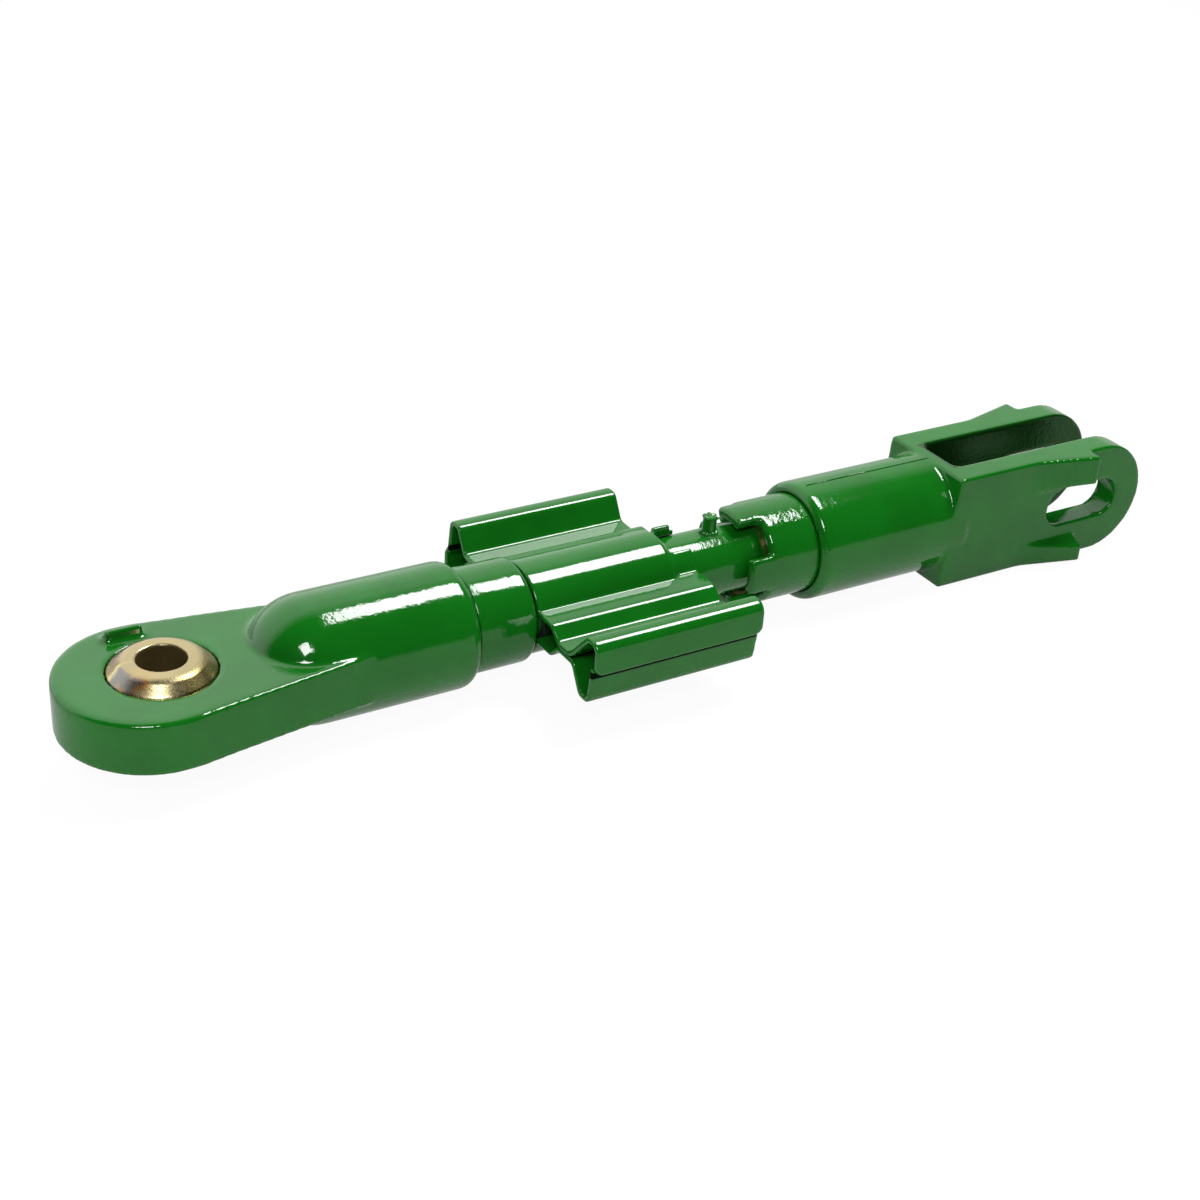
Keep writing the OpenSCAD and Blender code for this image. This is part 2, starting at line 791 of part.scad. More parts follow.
ball_end_forging();
race_ring_upper();
race_ring_lower();
race_retaining_ring();
swivel_ball();
thread_collar();
wiper_seal();
adjusting_screw();
stop_ring();
stop_bolt();
centre_tube();
drive_stud();
handle_upper_shell();
handle_lower_shell();
guide_bushes();
socket_collar();
bearing_bush();
thrust_washers();
castle_nut();
split_pin();
clevis_forging();
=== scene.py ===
"""Three-point lift link: painted forgings, pressed handle, zinc ball and the studio round them."""
import json
import math

import bpy
from mathutils import Matrix, Vector


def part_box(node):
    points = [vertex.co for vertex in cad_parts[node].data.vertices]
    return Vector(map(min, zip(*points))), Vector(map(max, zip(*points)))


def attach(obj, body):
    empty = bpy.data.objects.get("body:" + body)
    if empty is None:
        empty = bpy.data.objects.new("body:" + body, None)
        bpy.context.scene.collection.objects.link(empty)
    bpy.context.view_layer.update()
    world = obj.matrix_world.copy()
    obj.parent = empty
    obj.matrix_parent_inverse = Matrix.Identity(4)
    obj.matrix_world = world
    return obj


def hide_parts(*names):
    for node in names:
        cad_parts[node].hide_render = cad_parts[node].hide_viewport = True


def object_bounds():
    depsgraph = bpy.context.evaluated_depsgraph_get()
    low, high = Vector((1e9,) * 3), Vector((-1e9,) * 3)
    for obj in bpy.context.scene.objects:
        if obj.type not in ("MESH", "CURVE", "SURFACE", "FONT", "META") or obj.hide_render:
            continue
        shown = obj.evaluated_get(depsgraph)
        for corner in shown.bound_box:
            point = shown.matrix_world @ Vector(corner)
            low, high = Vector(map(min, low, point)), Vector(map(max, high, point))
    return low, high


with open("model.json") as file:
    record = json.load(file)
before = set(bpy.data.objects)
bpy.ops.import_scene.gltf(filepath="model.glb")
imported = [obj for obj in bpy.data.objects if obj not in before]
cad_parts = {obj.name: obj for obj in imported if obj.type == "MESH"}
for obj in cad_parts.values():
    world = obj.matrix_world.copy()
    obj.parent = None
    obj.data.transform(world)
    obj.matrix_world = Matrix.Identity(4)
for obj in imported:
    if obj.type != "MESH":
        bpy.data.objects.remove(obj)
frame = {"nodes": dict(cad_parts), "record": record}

bl_info = {
    "name": "Three-point lift link",
    "version": (1, 0, 0),
    "blender": (4, 5, 0),
    "location": "3D View > Sidebar > Lift Link",
    "description": "Dresses the lift link's forgings, handle and ball, and sets the studio",
    "category": "Object",
}

CAD_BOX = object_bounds()
MM = 0.001
WHITE = (1.0, 1.0, 1.0, 1.0)

# Meshes: how loose triangles are merged, edges broken and surfaces relaxed
MERGE_GAP = 0.002 * MM
FLAT_ANGLE = math.radians(0.5)
EDGE_ANGLE = math.radians(28.0)
EDGE_SEGMENTS = 3
RELAX_STEP = 0.5
EYE_PASSES = 14
BALL_PASSES = 3
STUD_PASSES = 5
SHEET_PASSES = 7
SOCKET_PASSES = 14
CLEVIS_PASSES = 8

# Eye: where its upper edge is rounder and its rim fuller, by height and by place along the link
RIM_PASSES = 18
RIM_CLEAR = 8 * MM
RIM_FLOOR = 10 * MM
RIM_ROUND = (32 * MM, 6 * MM)
RIM_FULL = (20 * MM, -30 * MM)

# Ball: share of the cone's height at which its bow is widest
CONE_SHOULDER = 0.62

# Drive stud: where its knurled crown begins and is full, from the stud's top down, the crown's teeth,
# and the share of its height above the tube by which the stud is set down
CROWN = (3.2 * MM, 1.6 * MM)
CROWN_TEETH = 6
CROWN_TURN = 0.6
CROWN_FLARE = 0.16
CROWN_NOTCH = 0.5 * MM
STUD_SETTLE = 0.2

# Flash line along the clevis tube
FLASH_SIDES = 12
FLASH_RADIUS = 0.45 * MM
FLASH_LENGTH = 92 * MM
FLASH_START = 8 * MM
FLASH_DEPTH = 0.2 * MM

# Weld round the stud's foot, with its two ripples as waves, height and turn
WELD_STEPS = (40, 12)
WELD_RADIUS = 4.2 * MM
WELD_BEAD = 1.4 * MM
WELD_LIFT = 0.1 * MM
WELD_OUTWARD = (5, 0.35 * MM, 0.8)
WELD_UPWARD = (7, 0.3 * MM, 0.0)

# Mix node: its sockets for the factor, the first and the second, and where a mixed colour comes out
VALUE_SOCKETS = (0, 2, 3)
COLOUR_SOCKETS = (0, 6, 7)
COLOUR_RESULT = 2

# Noise, as its detail and its roughness
SHORT_WAVES = (1.5, 0.45)
LONG_WAVES = (1.0, 0.4)
CLOUDS = (3.0, 0.55)
SPECKLE = (3.0, 0.7)
CAST_SKIN = (4.0, 0.65)

# Shared effects: how long and short waves add up, and where clouds and speckle begin and end
LONG_WAVE_SCALE = 0.3
LONG_WAVE_SHARE = 1.4
SPECKLE_FINENESS = 22.0
CLOUD_EDGE = (0.35, 0.65)
SPECKLE_EDGE = (0.3, 0.7)

# Scales of the clouds and waves on each finish, for one metre
ENAMEL_CLOUDS = 24.0
ZINC_CLOUDS = 60.0
BRONZE_CLOUDS = 90.0
STEEL_CLOUDS = 60.0
RUBBER_CLOUDS = 80.0
ZINC_WAVES = 900.0
BRONZE_WAVES = 700.0
CAST_GRAIN = 420.0

# Heights of the fine relief
ZINC_RELIEF = 0.012 * MM
METAL_RELIEF = 0.01 * MM
RUBBER_RELIEF = 0.02 * MM
CAST_HEIGHT = 5.0

# Enamel: thickness on the forgings, the socket and the sheet, against the drawn orange peel
FORGING_COAT = 1.0
SOCKET_COAT = 1.8
SHEET_COAT = 0.35

# Painted shade in the enamel's crevices: how open a crevice has to be, how dark the painted shade gets, how
# dull its surface is
CREVICE_OPEN = (0.2, 0.7)
CREVICE_SHADE = (0.5, 1.0)
CREVICE_ROUGH = 0.7
CREVICE_DULL = (0.7, 0.0)
CREVICE_SAMPLES = 4
SPECKLE_ROUGH = 0.03
ENAMEL_IOR = 1.5

# Painted shade on the seam behind the handle's flange: the soft edges of its strip and how far the strip
# reaches past the link's middle and in behind the flange
SEAM_FADE = 0.8 * MM
SEAM_REACH = (-4.0 * MM, -3.5 * MM)
FLANGE_FADE = 0.3 * MM
FLANGE_DEPTH = (12 * MM, 10 * MM)

# Rougher coat between the fork's ears, whose colour and reflections are also darkened with painted shade
INSIDE_FADE = 2 * MM
INSIDE_COLOUR = 0.62
INSIDE_DULL = 0.6

# Zinc: where its tones stand on the way round the ball, where that way starts, how far the tones
# wander, and how much of them the flat ring on top shows
ZINC_TONES = ((0.22, "rose"), (0.28, "olive"), (0.31, "pale"), (0.36, "violet"), (0.41, "violet"),
              (0.45, "orange"), (0.49, "pale"), (0.57, "gold"), (0.64, "olive"), (0.80, "olive"),
              (0.88, "gold"))
CLOUD_TURN = math.radians(33.0)
CLOUD_WANDER = (-0.25, 0.25)
RING_FADE = (0.2 * MM, 1.0 * MM)
RING_SHARE = 0.12
SPECK_EDGE = (0.86, 0.94)
BORE_FADE = (0.6 * MM, 0.2 * MM)
BORE_METAL = 0.4
ZINC_ROUGH = (0.2, 0.38)

# Other finishes: roughness at the two ends of the speckle
BRONZE_METAL = 0.9
BRONZE_ROUGH = (0.25, 0.5)
GROUND_ROUGH = (0.18, 0.34)
TURNED_ROUGH = (0.28, 0.5)
RUBBER_ROUGH = (0.5, 0.75)

# Camera
SENSOR = 36.0
NEAREST = 0.01

# Surroundings, by direction: where backdrop and ground begin, how the backdrop falls off to the right
BACKDROP_EDGE = (0.12, 0.50)
GROUND_EDGE = (0.08, -0.02)
FALL_OFF_EDGE = (0.25, 0.62)
FALL_OFF = (1.1, 0.62)
CARD_LEVEL = 0.02

# Floor
FLOOR_SIZE = 8.0
FLOOR_PLACE = (0.3, 0.4)
FLOOR_DROP = 0.4 * MM
FLOOR_COLOUR = (0.92, 0.92, 0.92, 1.0)
FLOOR_ROUGH = 0.9
FLOOR_GLOW = 0.95

FINISHES = {"green_paint": "gloss_enamel", "yellow_zinc": "passivated_zinc", "hard_steel": "ground_steel",
            "plain_steel": "turned_steel", "bush_bronze": "bearing_bronze", "seal_rubber": "black_rubber"}


class LiftLinkPaint(bpy.types.PropertyGroup):
    """Gloss enamel on the forgings, the handle and the tube"""
    colour: bpy.props.FloatVectorProperty(
        name="Colour", description="Colour of the enamel", subtype="COLOR", size=4,
        default=(0.0038, 0.113, 0.006, 1.0))
    thin_colour: bpy.props.FloatVectorProperty(
        name="Thin colour", description="Colour where the enamel lies thin", subtype="COLOR", size=4,
        default=(0.0033, 0.098, 0.005, 1.0))
    # Painted shade: the enamel turns to this colour in crevices and under the handle's flange
    painted_shade_colour: bpy.props.FloatVectorProperty(
        name="Gap colour", description="Colour of the enamel in a narrow gap", subtype="COLOR", size=4,
        default=(0.001, 0.012, 0.0012, 1.0))
    # Partly the rougher coat's own colour, partly painted shade between the fork's ears
    inside_coat_and_shade: bpy.props.FloatVectorProperty(
        name="Inside colour", description="Colour mixed into the enamel between the fork's ears",
        subtype="COLOR", size=4, default=(0.010, 0.027, 0.008, 1.0))
    gloss: bpy.props.FloatProperty(
        name="Roughness", description="Roughness of the enamel's surface", default=0.07, min=0.0, max=1.0)
    peel: bpy.props.FloatProperty(
        name="Orange peel", description="Height of the waves in the enamel", default=0.055 * MM,
        unit="LENGTH", precision=6)
    peel_width: bpy.props.FloatProperty(
        name="Peel width", description="Width of one wave in the enamel", default=1.8 * MM,
        unit="LENGTH", precision=5)
    # Reach of the ambient occlusion that paints shade into the enamel's crevices
    crevice: bpy.props.FloatProperty(
        name="Crevice", description="Width of a crevice that shows dark", default=3.2 * MM,
        unit="LENGTH", precision=5)


class LiftLinkMetal(bpy.types.PropertyGroup):
    """Colours of the bare and plated metal, and of the seal"""
    gold: bpy.props.FloatVectorProperty(
        name="Gold zinc", description="Main colour of the yellow zinc", subtype="COLOR", size=4,
        default=(0.44, 0.37, 0.195, 1.0))
    pale: bpy.props.FloatVectorProperty(
        name="Pale zinc", description="Pale gold of the yellow zinc", subtype="COLOR", size=4,
        default=(0.66, 0.56, 0.30, 1.0))
    olive: bpy.props.FloatVectorProperty(
        name="Olive zinc", description="Darker cloud in the yellow zinc", subtype="COLOR", size=4,
        default=(0.24, 0.20, 0.075, 1.0))
    rose: bpy.props.FloatVectorProperty(
        name="Rose zinc", description="Pink cloud in the yellow zinc", subtype="COLOR", size=4,
        default=(0.40, 0.25, 0.22, 1.0))
    violet: bpy.props.FloatVectorProperty(
        name="Violet zinc", description="Violet grey cloud in the yellow zinc", subtype="COLOR", size=4,
        default=(0.25, 0.24, 0.215, 1.0))
    orange: bpy.props.FloatVectorProperty(
        name="Orange zinc", description="Orange cloud in the yellow zinc", subtype="COLOR", size=4,
        default=(0.72, 0.34, 0.10, 1.0))
    speck: bpy.props.FloatVectorProperty(
        name="Specks", description="Dark specks in the yellow zinc", subtype="COLOR", size=4,
        default=(0.10, 0.085, 0.05, 1.0))
    bore: bpy.props.FloatVectorProperty(
        name="Bore", description="Brown of the ball's bore", subtype="COLOR", size=4,
        default=(0.10, 0.07, 0.025, 1.0))
    bronze: bpy.props.FloatVectorProperty(
        name="Bronze", description="Colour of the bearing bush", subtype="COLOR", size=4,
        default=(0.42, 0.22, 0.09, 1.0))
    steel: bpy.props.FloatVectorProperty(
        name="Steel", description="Colour of the bare steel inside", subtype="COLOR", size=4,
        default=(0.46, 0.46, 0.47, 1.0))
    dark_steel: bpy.props.FloatVectorProperty(
        name="Dark steel", description="Darker cloud in the bare steel", subtype="COLOR", size=4,
        default=(0.33, 0.33, 0.34, 1.0))
    rubber: bpy.props.FloatVectorProperty(
        name="Rubber", description="Colour of the seal", subtype="COLOR", size=4,
        default=(0.018, 0.018, 0.018, 1.0))
    bloom: bpy.props.FloatVectorProperty(
        name="Bloom", description="Dusty bloom on the seal", subtype="COLOR", size=4,
        default=(0.035, 0.034, 0.032, 1.0))


class LiftLinkShape(bpy.types.PropertyGroup):
    """Mesh sizes, eased edges and the places that the finishes follow"""
    forging_grain: bpy.props.FloatProperty(
        name="Forging grain", description="Mesh size of a softened forging", default=1.1 * MM,
        unit="LENGTH", precision=5)
    sheet_grain: bpy.props.FloatProperty(
        name="Sheet grain", description="Mesh size of a softened sheet pressing", default=0.84 * MM,
        unit="LENGTH", precision=5)
    socket_grain: bpy.props.FloatProperty(
        name="Socket grain", description="Mesh size of the softened socket collar", default=0.8 * MM,
        unit="LENGTH", precision=5)
    ball_grain: bpy.props.FloatProperty(
        name="Ball grain", description="Mesh size of the softened ball", default=0.5 * MM,
        unit="LENGTH", precision=5)
    stud_grain: bpy.props.FloatProperty(
        name="Stud grain", description="Mesh size of the softened drive stud", default=0.3 * MM,
        unit="LENGTH", precision=5)
    edge: bpy.props.FloatProperty(
        name="Machined edge", description="Width of the break on a machined edge", default=0.5 * MM,
        unit="LENGTH", precision=5)
    rim_swell: bpy.props.FloatProperty(
        name="Rim swell", description="How far the eye's rim stands out past its drawn circle",
        default=1.2 * MM, unit="LENGTH", precision=5)
    cone_foot: bpy.props.FloatProperty(
        name="Cone foot", description="Height above the ball's middle at which its end cone starts",
        default=14.5 * MM, unit="LENGTH", precision=5)
    cone_bow: bpy.props.FloatProperty(
        name="Cone bow", description="How far the end cone bows out at its shoulder", default=0.95 * MM,
        unit="LENGTH", precision=5)
    cone_inner: bpy.props.FloatProperty(
        name="Cone inner radius", description="Radius outside which the cone's bow reaches",
        default=17.5 * MM, unit="LENGTH", precision=5)
    bore_radius: bpy.props.FloatProperty(
        name="Bore radius", description="Radius of the ball's bore", default=12.7 * MM,
        unit="LENGTH", precision=5)
    flange_back: bpy.props.FloatProperty(
        name="Flange back", description="How far out the wall behind the handle's flange stands",
        default=82.9 * MM, unit="LENGTH", precision=5)
    # End of the painted shade under the handle's flange
    seam_end: bpy.props.FloatProperty(
        name="Seam end", description="How far past the link's middle the shaded seam under the flange ends",
        default=0.1 * MM, unit="LENGTH", precision=5)
    gap_half: bpy.props.FloatProperty(
        name="Fork gap", description="Half width of the gap between the fork's ears", default=17 * MM,
        unit="LENGTH", precision=5)
    gap_start: bpy.props.FloatProperty(
        name="Fork gap start", description="Where the gap between the ears starts along the link",
        default=494 * MM, unit="LENGTH", precision=5)


class LiftLinkStudio(bpy.types.PropertyGroup):
    """Camera, softboxes and surroundings"""
    camera_place: bpy.props.FloatVectorProperty(
        name="Camera place", description="Where the camera stands", subtype="TRANSLATION", size=3,
        default=(-0.2775, -0.8253, 0.550))
    camera_turn: bpy.props.FloatVectorProperty(
        name="Camera turn", description="Downward pitch, yaw and roll of the camera", subtype="EULER",
        size=3, default=(math.radians(29.587), math.radians(32.925), math.radians(3.944)))
    lens: bpy.props.FloatProperty(
        name="Lens", description="Focal length in millimetres on a 36 mm sensor", default=60.0,
        unit="CAMERA")
    box_place: bpy.props.FloatVectorProperty(
        name="Softbox place", description="Centre of the overhead softbox", subtype="TRANSLATION", size=3,
        default=(0.972, 0.075, 1.53))
    box_aim: bpy.props.FloatVectorProperty(
        name="Softbox aim", description="Point that the overhead softbox faces", subtype="TRANSLATION",
        size=3, default=(0.0, 0.075, 0.0))
    box_size: bpy.props.FloatVectorProperty(
        name="Softbox size", description="Length and width of the softbox", size=2, default=(0.65, 0.66),
        unit="LENGTH")
    box_power: bpy.props.FloatProperty(
        name="Softbox power", description="Power of the softbox in watts", default=32.0, unit="POWER")
    front_place: bpy.props.FloatVectorProperty(
        name="Front box place", description="Centre of the small front softbox", subtype="TRANSLATION",
        size=3, default=(-0.51, -0.96, 1.17))
    front_aim: bpy.props.FloatVectorProperty(
        name="Front box aim", description="Point that the front softbox faces", subtype="TRANSLATION",
        size=3, default=(0.07, -0.02, 0.02))
    front_size: bpy.props.FloatVectorProperty(
        name="Front box size", description="Width and height of the front softbox", size=2,
        default=(0.46, 0.46), unit="LENGTH")
    front_power: bpy.props.FloatProperty(
        name="Front box power", description="Power of the front softbox in watts", default=14.5,
        unit="POWER")
    fill: bpy.props.FloatProperty(
        name="Fill", description="Level of the soft light from the pale side", default=2.1)
    dim_fill: bpy.props.FloatProperty(
        name="Dim fill", description="Level of the soft light from the dark card's side", default=0.06)
    backdrop_gloss: bpy.props.FloatProperty(
        name="Backdrop gloss", description="Level of the backdrop in reflections", default=1.33)
    ground_gloss: bpy.props.FloatProperty(
        name="Ground gloss", description="Level of the ground in reflections", default=0.6)


def deselect():
    if bpy.context.object and bpy.context.object.mode != "OBJECT":
        bpy.ops.object.mode_set(mode="OBJECT")
    bpy.ops.object.select_all(action="DESELECT")


def pick(piece):
    """Leaves one piece selected and active"""
    deselect()
    piece.select_set(True)
    bpy.context.view_layer.objects.active = piece


def share(value, span):
    """0 up to the span's first value and 1 from its second, even between them"""
    first, second = span
    return min(1.0, max(0.0, (value - first) / (second - first)))


def finish_modifier(piece, modifier):
    pick(piece)
    bpy.ops.object.modifier_apply(modifier=modifier.name)


def copy_of(node, name):
    """A copy of a packed node with its loose triangles merged into one closed surface"""
    piece = bpy.data.objects.new(name, frame["nodes"][node].data.copy())
    bpy.context.scene.collection.objects.link(piece)
    piece.data.materials.clear()
    pick(piece)
    bpy.ops.object.mode_set(mode="EDIT")
    bpy.ops.mesh.select_all(action="SELECT")
    bpy.ops.mesh.remove_doubles(threshold=MERGE_GAP)
    bpy.ops.mesh.customdata_custom_splitnormals_clear()
    bpy.ops.object.mode_set(mode="OBJECT")
    return piece


def relax(piece, passes, group=""):
    """Evens out the surface, all over or by the weight of a vertex group"""
    modifier = piece.modifiers.new("Relax", "SMOOTH")
    modifier.factor = RELAX_STEP
    modifier.iterations = passes
    modifier.vertex_group = group
    finish_modifier(piece, modifier)


def soften(piece, grain, passes):
    """Remeshes a piece finely and relaxes it, so that every edge and inner corner rounds"""
    remesh = piece.modifiers.new("Grain", "REMESH")
    remesh.mode = "VOXEL"
    remesh.voxel_size = grain
    remesh.adaptivity = 0.0
    finish_modifier(piece, remesh)
    relax(piece, passes)
    piece.data.shade_smooth()


def relax_where(piece, weigh, passes):
    """Relaxes each point by its weight, for a larger rounding where that is high"""
    group = piece.vertex_groups.new(name="relax")
    for vertex in piece.data.vertices:
        weight = weigh(vertex.co)
        if weight > 0.0:
            group.add([vertex.index], weight, "REPLACE")
    relax(piece, passes, group.name)
    piece.vertex_groups.clear()


def break_edges(piece, width):
    """Flattens the copy's faces, bevels its sharp edges and shades it smooth"""
    pick(piece)
    bpy.ops.object.mode_set(mode="EDIT")
    bpy.ops.mesh.select_all(action="SELECT")
    bpy.ops.mesh.dissolve_limited(angle_limit=FLAT_ANGLE)
    bpy.ops.object.mode_set(mode="OBJECT")
    bevel = piece.modifiers.new("Edge", "BEVEL")
    bevel.width = width
    bevel.segments = EDGE_SEGMENTS
    bevel.limit_method = "ANGLE"
    bevel.angle_limit = EDGE_ANGLE
    bevel.harden_normals = False
    finish_modifier(piece, bevel)
    pick(piece)
    bpy.ops.object.shade_smooth_by_angle(angle=EDGE_ANGLE)


def set_in_place(piece, name):
    """Names a new primitive and moves its place and turn into its mesh"""
    piece.name = name
    bpy.ops.object.transform_apply(location=True, rotation=True, scale=True)
    piece.data.shade_smooth()


def dress(piece, body, slot, *nodes, finish=None):
    """Gives a new piece its slot's finish, its body and the packed nodes that it stands for"""
    piece.data.materials.clear()
    piece.data.materials.append(bpy.data.materials[finish or FINISHES[slot]])
    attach(piece, body)
    if nodes:
        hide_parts(*nodes)


def feed(tree, value, socket):
    """Links a socket to another one, or sets it to a plain value"""
    if isinstance(value, bpy.types.NodeSocket):
        tree.links.new(value, socket)
    else:
        socket.default_value = value


def math_node(tree, operation, first, second=0.0):
    node = tree.nodes.new("ShaderNodeMath")
    node.operation = operation
    feed(tree, first, node.inputs[0])
    feed(tree, second, node.inputs[1])
    return node.outputs["Value"]


def multiply(tree, first, second):
    return math_node(tree, "MULTIPLY", first, second)


def larger(tree, first, second):
    return math_node(tree, "MAXIMUM", first, second)


def map_range(tree, value, span, to=(0.0, 1.0), smooth=False):
    """The first value of a range at the span's first value and the second at its second"""
    node = tree.nodes.new("ShaderNodeMapRange")
    if smooth:
        node.interpolation_type = "SMOOTHSTEP"
    tree.links.new(value, node.inputs["Value"])
    node.inputs["From Min"].default_value, node.inputs["From Max"].default_value = span
    node.inputs["To Min"].default_value, node.inputs["To Max"].default_value = to
    return node.outputs["Result"]


def stretch(tree, value, to):
    """A value from 0 to 1, laid over another range"""
    return map_range(tree, value, (0.0, 1.0), to)


def blend_value(tree, factor, first, second):
    node = tree.nodes.new("ShaderNodeMix")
    node.data_type = "FLOAT"
    for index, value in zip(VALUE_SOCKETS, (factor, first, second)):
        feed(tree, value, node.inputs[index])
    return node.outputs[0]


def blend_colour(tree, factor, first, second):
    node = tree.nodes.new("ShaderNodeMix")
    node.data_type = "RGBA"
    for index, value in zip(COLOUR_SOCKETS, (factor, first, second)):
        feed(tree, value, node.inputs[index])
    return node.outputs[COLOUR_RESULT]


def split_place(tree, place):
    node = tree.nodes.new("ShaderNodeSeparateXYZ")
    tree.links.new(place, node.inputs["Vector"])
    return node.outputs


def noise(tree, place, scale, kind):
    detail, roughness = kind
    node = tree.nodes.new("ShaderNodeTexNoise")
    node.inputs["Detail"].default_value = detail
    node.inputs["Roughness"].default_value = roughness
    tree.links.new(place, node.inputs["Vector"])
    feed(tree, scale, node.inputs["Scale"])
    return node.outputs["Fac"]


def new_group(name, outputs):
    """A shader node group that reads a place and a scale, with its two end nodes"""
    group = bpy.data.node_groups.new(name, "ShaderNodeTree")
    group.interface.new_socket(name="Place", in_out="INPUT", socket_type="NodeSocketVector")
    group.interface.new_socket(name="Scale", in_out="INPUT", socket_type="NodeSocketFloat")
    for label in outputs:
        group.interface.new_socket(name=label, in_out="OUTPUT", socket_type="NodeSocketFloat")
    return group, group.nodes.new("NodeGroupInput").outputs, group.nodes.new("NodeGroupOutput").inputs


def place_group(tree, group, place, scale):
    node = tree.nodes.new("ShaderNodeGroup")
    node.node_tree = group
    feed(tree, place, node.inputs["Place"])
    feed(tree, scale, node.inputs["Scale"])
    return node.outputs


def peel_group():
    """Long and short waves of sprayed or dipped enamel, as a height"""
    group, start, end = new_group("enamel_peel", ["Height"])
    short = noise(group, start["Place"], start["Scale"], SHORT_WAVES)
    long = noise(group, start["Place"], multiply(group, start["Scale"], LONG_WAVE_SCALE), LONG_WAVES)
    waves = math_node(group, "ADD", short, multiply(group, long, LONG_WAVE_SHARE))
    group.links.new(waves, end["Height"])
    return group


def cloud_group():
    """Slow drift and small speckle, as two masks"""
    group, start, end = new_group("tone_clouds", ["Cloud", "Speckle"])
    cloud = noise(group, start["Place"], start["Scale"], CLOUDS)
    speckle = noise(group, start["Place"], multiply(group, start["Scale"], SPECKLE_FINENESS), SPECKLE)
    group.links.new(map_range(group, cloud, CLOUD_EDGE, smooth=True), end["Cloud"])
    group.links.new(map_range(group, speckle, SPECKLE_EDGE), end["Speckle"])
    return group


def new_material(name):
    """The node tree of a new material and the sockets of its shader"""
    material = bpy.data.materials.new(name)
    material.use_nodes = True
    return material.node_tree, material.node_tree.nodes["Principled BSDF"].inputs


def object_place(tree):
    return tree.nodes.new("ShaderNodeTexCoord").outputs["Object"]


def add_relief(tree, shader, height, distance):
    bump = tree.nodes.new("ShaderNodeBump")
    bump.inputs["Distance"].default_value = distance
    tree.links.new(height, bump.inputs["Height"])
    tree.links.new(bump.outputs["Normal"], shader["Normal"])


def flange_shade_mask(tree, place, shape):
    """1 on the narrow strip of wall that shows under the handle's flange, on both wings"""
    sides = split_place(tree, place)
    beside = math_node(tree, "ABSOLUTE", sides["Y"])
    over = multiply(tree, sides["Z"], math_node(tree, "SIGN", sides["Y"]))
    strip = multiply(tree, map_range(tree, over, (shape.seam_end + SEAM_FADE, shape.seam_end)),
                     map_range(tree, over, SEAM_REACH))
    far, near = FLANGE_DEPTH
    behind = multiply(
        tree, map_range(tree, beside, (shape.flange_back + FLANGE_FADE, shape.flange_back)),
        map_range(tree, beside, (shape.flange_back - far, shape.flange_back - near)))
    return multiply(tree, strip, behind)


def inside_mask(tree, place, shape):
    """1 between the fork's ears"""
    sides = split_place(tree, place)
    beside = math_node(tree, "ABSOLUTE", sides["Y"])
    return multiply(tree, map_range(tree, beside, (shape.gap_half + INSIDE_FADE, shape.gap_half)),
                    map_range(tree, sides["X"], (shape.gap_start - INSIDE_FADE, shape.gap_start)))


def enamel(name, peel, clouds, coat):
    """Gloss green enamel with orange peel, dark crevices and a rougher coat inside the fork"""
    paint = bpy.context.scene.lift_link_paint
    shape = bpy.context.scene.lift_link_shape
    tree, shader = new_material(name)
    place = object_place(tree)
    drift = place_group(tree, clouds, place, ENAMEL_CLOUDS)
    seam = flange_shade_mask(tree, place, shape)
    inside = inside_mask(tree, place, shape)
    # Painted shade: ambient occlusion darkens the enamel's colour in crevices
    nook = tree.nodes.new("ShaderNodeAmbientOcclusion")
    nook.samples = CREVICE_SAMPLES
    nook.inputs["Distance"].default_value = paint.crevice
    shade = map_range(tree, nook.outputs["AO"], CREVICE_OPEN, CREVICE_SHADE, smooth=True)
    # The strip under the flange gets full painted shade
    shade = multiply(tree, shade, math_node(tree, "SUBTRACT", 1.0, seam))
    colour = blend_colour(tree, drift["Cloud"], paint.colour, paint.thin_colour)
    colour = blend_colour(tree, shade, paint.painted_shade_colour, colour)
    # Between the fork's ears the colour darkens: a rougher coat and painted shade
    colour = blend_colour(tree, multiply(tree, inside, INSIDE_COLOUR), colour, paint.inside_coat_and_shade)
    rough = stretch(tree, drift["Speckle"], (paint.gloss, paint.gloss + SPECKLE_ROUGH))
    # Painted shade in the reflections too: shaded crevices and the fork's inside turn metallic, so that
    # their dark colour reflects little
    dull = larger(tree, map_range(tree, shade, CREVICE_DULL), multiply(tree, inside, INSIDE_DULL))
    tree.links.new(colour, shader["Base Color"])
    tree.links.new(blend_value(tree, shade, CREVICE_ROUGH, rough), shader["Roughness"])
    tree.links.new(dull, shader["Metallic"])
    shader["IOR"].default_value = ENAMEL_IOR
    waves = place_group(tree, peel, place, 1.0 / paint.peel_width)
    cast = multiply(tree, multiply(tree, noise(tree, place, CAST_GRAIN, CAST_SKIN), inside), CAST_HEIGHT)
    add_relief(tree, shader, math_node(tree, "ADD", waves["Height"], cast), paint.peel * coat)


